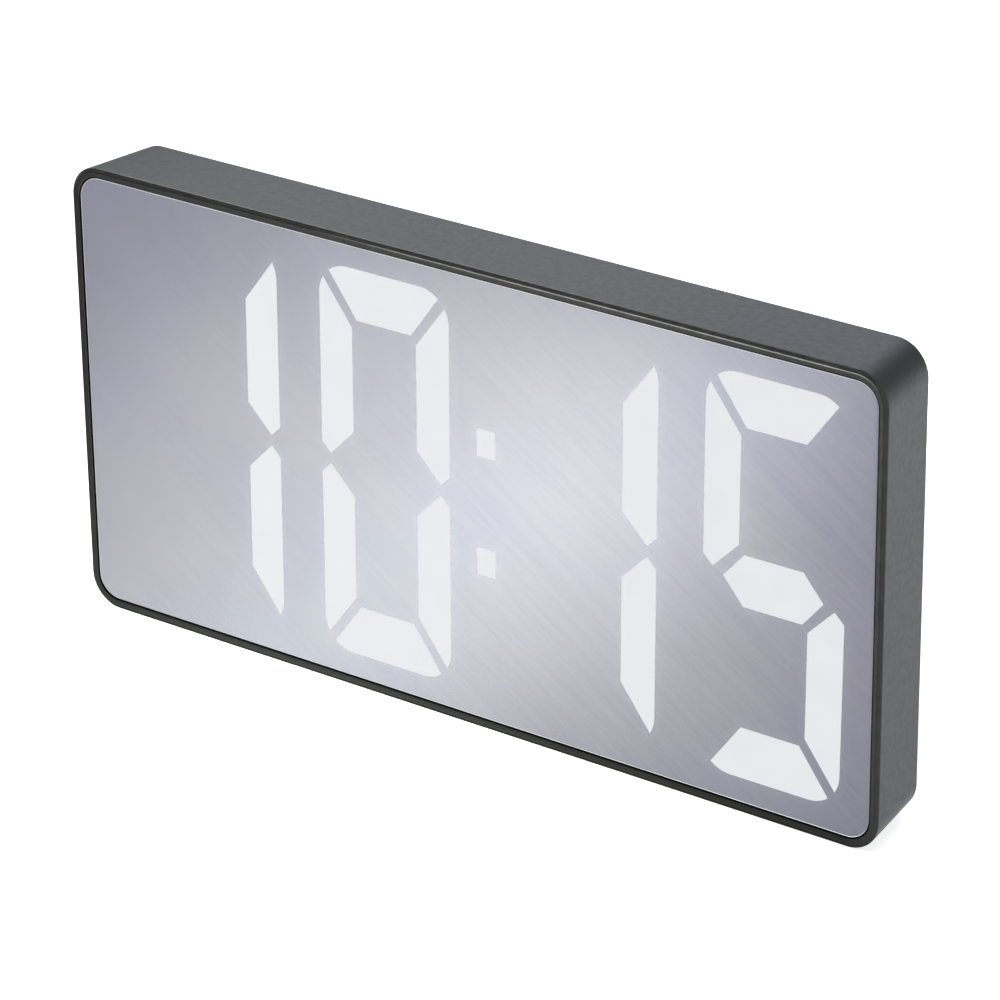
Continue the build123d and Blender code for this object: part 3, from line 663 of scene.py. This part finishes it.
# ------------------------------------------------------------------ carried-over nodes
FINISH = {
    "lit_segments": "lit_segments", "panel_tape": "black_tape", "diffuser_film": "diffuser_film",
    "reflector_block": "white_plastic", "led_board": "circuit_board", "segment_leds": "led_chip",
    "led_driver_chip": "chip_black", "microcontroller": "chip_black", "clock_crystal": "plated_metal",
    "voltage_regulator": "chip_black", "chip_resistors": "resistor_black", "chip_capacitors": "capacitor_tan",
    "alarm_buzzer": "buzzer_black", "power_socket_shell": "plated_metal", "power_socket_tongue": "chip_black",
    "switch_housings": "switch_black", "coin_cell_holder": "holder_plastic", "coin_cell": "cell_steel",
    "cell_contact_positive": "spring_metal", "cell_contact_negative": "spring_metal",
    "rear_cover": "cover_plastic", "cover_screws": "screw_steel", "board_screws": "screw_steel",
    "stand_hinge_pin": "pin_steel", "foot_pads": "grey_rubber", "stand_leg": "stand_plastic",
    "stand_tips": "grey_rubber", "cell_cap": "cap_plastic",
    "mode_button": "button_plastic", "alarm_button": "button_plastic", "down_button": "button_plastic", "up_button": "button_plastic",
    "mode_switch_plunger": "plunger_plastic", "alarm_switch_plunger": "plunger_plastic",
    "down_switch_plunger": "plunger_plastic", "up_switch_plunger": "plunger_plastic",
}
for name, finish in FINISH.items():
    mesh = NODES[name].data
    if not mesh.materials:
        mesh.materials.append(MAT[finish])
    for i in range(len(mesh.materials)):
        mesh.materials[i] = MAT[finish]
for name in ("housing", "mirror_panel"):
    mesh = NODES[name].data
    for i in range(len(mesh.materials)):
        mesh.materials[i] = MAT["case_plastic"] if name == "housing" else MAT["black_tape"]

# ------------------------------------------------------------------ floor
bm = bmesh.new()
bmesh.ops.create_grid(bm, x_segments=8, y_segments=8, size=9.0)
floor = new_object("floor", bm)
m, t, b = material("pale_floor")
t.links.new(mixed(t, noise(t, coords(t), 3.0, 2.0), (0.91, 0.91, 0.91), (0.93, 0.93, 0.93)), b.inputs["Base Color"])
b.inputs["Roughness"].default_value = 0.9
b.inputs["Specular IOR Level"].default_value = 0.1
b.inputs["Emission Color"].default_value = (0.75, 0.75, 0.75, 1.0)
b.inputs["Emission Strength"].default_value = 1.0
floor.data.materials.append(m)


# ------------------------------------------------------------------ light
def softbox(name, place, aim, size, power, colour=(1, 1, 1), spread=180):
    lamp = bpy.data.lights.new(name, "AREA")
    lamp.shape = "RECTANGLE"
    lamp.size, lamp.size_y = size
    lamp.energy = power
    lamp.color = colour
    lamp.spread = math.radians(spread)
    o = bpy.data.objects.new(name, lamp)
    bpy.context.scene.collection.objects.link(o)
    o.location = place
    o.rotation_mode = "QUATERNION"
    o.rotation_quaternion = (Vector(aim) - Vector(place)).to_track_quat("-Z", "Y")
    return o


sun = bpy.data.lights.new("overhead", "SUN")
sun.energy = 1.2
sun.angle = math.radians(70)
sun_o = bpy.data.objects.new("overhead", sun)
bpy.context.scene.collection.objects.link(sun_o)
sun_o.rotation_mode = "QUATERNION"
sun_o.rotation_quaternion = Vector((0.10, 0.16, -1.0)).to_track_quat("-Z", "Y")

softbox("back_left", (-1.02, 2.22, 1.2), (0, 0, 0.04), (1.5, 1.6), 13.0, (0.845, 0.905, 1.0))
softbox("front_high", (-0.90, -0.45, 0.92), (0, 0, 0.04), (0.4, 0.4), 1.8)


def pool(name, aim, half, narrow, roll, power, colour):
    """A soft oval pool of light on the floor in front, which the panel picks up."""
    lamp = bpy.data.lights.new(name, "SPOT")
    lamp.energy = power
    lamp.color = colour
    lamp.shadow_soft_size = 0.03
    lamp.spot_size = math.radians(2 * half)
    lamp.spot_blend = 1.0
    o = bpy.data.objects.new(name, lamp)
    bpy.context.scene.collection.objects.link(o)
    o.location = (-0.34, -1.0, 0.80)
    o.rotation_mode = "QUATERNION"
    o.rotation_quaternion = (Vector((*aim, 0.0)) - o.location).to_track_quat("-Z", "Y") @ Quaternion((0, 0, 1), roll)
    o.scale = (narrow, 1.0, 1.0)
    o.visible_glossy = False


pool("pool_wide", (-0.0526, -0.0500), 8.67, 0.523, -0.378, 171.0, (0.954, 1.0, 0.775))
pool("pool_long", (-0.0394, -0.0500), 8.35, 0.240, 0.372, 150.5, (0.835, 1.0, 0.88))
pool("pool_across", (-0.0501, -0.1074), 4.11, 0.232, -0.917, 174.0, (1.0, 0.955, 0.825))

world = bpy.data.worlds.new("studio")
bpy.context.scene.world = world
world.use_nodes = True
wt = world.node_tree
wt.nodes["Background"].inputs["Color"].default_value = (0.93, 0.96, 1.0, 1.0)
wt.nodes["Background"].inputs["Strength"].default_value = 0.30

bpy.context.scene.view_settings.view_transform = "Standard"
bpy.context.scene.view_settings.look = "None"

# ------------------------------------------------------------------ camera at the photograph's viewing angle
cam_data = bpy.data.cameras.new("camera")
cam_data.sensor_width = 36.0
cam_data.lens = 170.09
cam_data.clip_start, cam_data.clip_end = 0.02, 20.0
cam = bpy.data.objects.new("camera", cam_data)
bpy.context.scene.collection.objects.link(cam)
back = -Vector((-0.5360, 0.7316, -0.4212)).normalized()
right = Vector((0.8096, 0.5868, -0.0110))
right = (right - back * right.dot(back)).normalized()
up = back.cross(right)
basis = Matrix((right, up, back)).transposed()
cam.rotation_mode = "QUATERNION"
cam.rotation_quaternion = basis.to_quaternion()
cam.location = (0.42689, -0.57915, 0.37316)
bpy.context.scene.camera = cam
